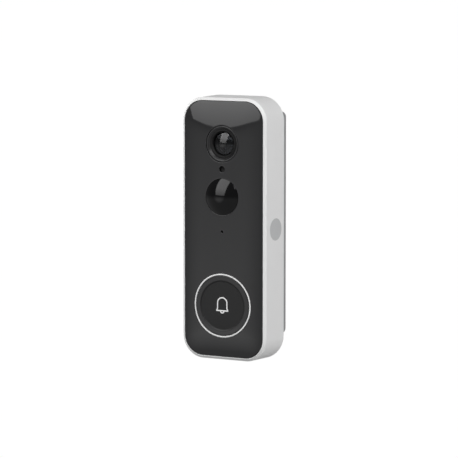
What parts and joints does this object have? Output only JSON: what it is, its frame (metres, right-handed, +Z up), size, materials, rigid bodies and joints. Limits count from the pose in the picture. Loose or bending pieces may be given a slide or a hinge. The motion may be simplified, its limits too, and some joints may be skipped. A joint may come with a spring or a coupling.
{
  "type": "video doorbell",
  "caption": "Slim wall-mounted video doorbell with a white rounded housing, gloss black front, camera, domed motion sensor and a ringed push button, on a wall plate.",
  "frame": {"origin": "centre of the wall plate's back face, which lies against the wall", "axes": "+Z up along the doorbell's length, -Y out of the front, +Y into the wall, +X to the right seen from the front"},
  "size_m": [0.0544, 0.034, 0.146],
  "materials": {
    "plate_grey": "fine moulded texture",
    "spring_plastic": "moulded acetal, satin",
    "white_shell": "satin white, fine moulded texture",
    "badge_grey": "satin grey disc",
    "cover_grey": "fine moulded texture",
    "steel": "zinc plated",
    "black_rubber": "matt",
    "brass": "plain",
    "front_gloss": "high gloss near-black",
    "bezel_black": "gloss black",
    "barrel_black": "satin black",
    "lens_glass": "coated optical glass",
    "inner_black": "moulded black",
    "circuit_board": "green solder mask",
    "sensor_glass": "image sensor under glass",
    "chip_black": "moulded epoxy",
    "dome_black": "gloss black, infrared-clear",
    "nickel_can": "nickel plated",
    "ring_white": "frosted white",
    "grey_silicone": "silicone",
    "lamp_white": "lamp package",
    "copper_foil": "copper foil on film",
    "cell_foil": "laminated foil",
    "red_wire": "insulated wire",
    "flap_rubber": "light grey soft rubber"
  },
  "bodies": {
    "wall_plate": {"mounting_plate": "plate_grey", "release_catch": "spring_plastic"},
    "doorbell": {"antenna": "copper_foil", "antenna_lead": "black_rubber", "battery_bracket": "inner_black", "battery_cells": "cell_foil", "battery_foam": "black_rubber", "battery_leads": "red_wire", "battery_plug": "ring_white", "board_screws": "steel", "button_return_pad": "grey_silicone", "button_switch": "inner_black", "camera_bezel": "bezel_black", "camera_board": "circuit_board", "camera_holder": "inner_black", "camera_screws": "steel", "charging_board": "circuit_board", "charging_socket": "steel", "chassis": "inner_black", "front_panel": "front_gloss", "image_sensor": "sensor_glass", "infrared_lamps": "bezel_black", "inner_lens": "lens_glass", "lens_barrel": "barrel_black", "lens_glass": "lens_glass", "light_pipe": "bezel_black", "light_ring": "ring_white", "light_sensor": "chip_black", "main_board": "circuit_board", "main_housing": "white_shell", "microphone": "nickel_can", "microphone_boot": "black_rubber", "pir_dome": "dome_black", "pir_sensor": "nickel_can", "rear_cover": "cover_grey", "rear_cover_screws": "steel", "rear_seal": "black_rubber", "ring_lamps": "lamp_white", "shield_can": "nickel_can", "side_badge": "badge_grey", "speaker": "chip_black", "speaker_gasket": "black_rubber", "speaker_leads": "red_wire", "speaker_mesh": "nickel_can", "terminal_plates": "brass", "terminal_screws": "steel"},
    "button": {"button_cap": "front_gloss", "bell_icon": "ring_white", "switch_plunger": "inner_black"},
    "port_flap": {"port_cover": "flap_rubber"}
  },
  "joints": [
    {"name": "doorbell_tilt", "type": "hinge", "parent": "wall_plate", "child": "doorbell", "pos_m": [0, -0.0085, 0.062], "axis": [-1, 0, 0], "range_deg": [0, 12], "deforming": ["release_catch"]},
    {"name": "button_press", "type": "slide", "parent": "doorbell", "child": "button", "axis": [0, 1, 0], "range_m": [0, 0.0006], "stiffness_N_per_m": 1500, "springref_m": -0.0005, "deforming": ["button_return_pad"]},
    {"name": "port_flap_swing", "type": "hinge", "parent": "doorbell", "child": "port_flap", "pos_m": [-0.0075, -0.0141, -0.075], "axis": [1, 0, 0], "range_deg": [0, 100], "stiffness_Nm_per_rad": 0.0002, "springref_deg": -17.19}
  ]
}
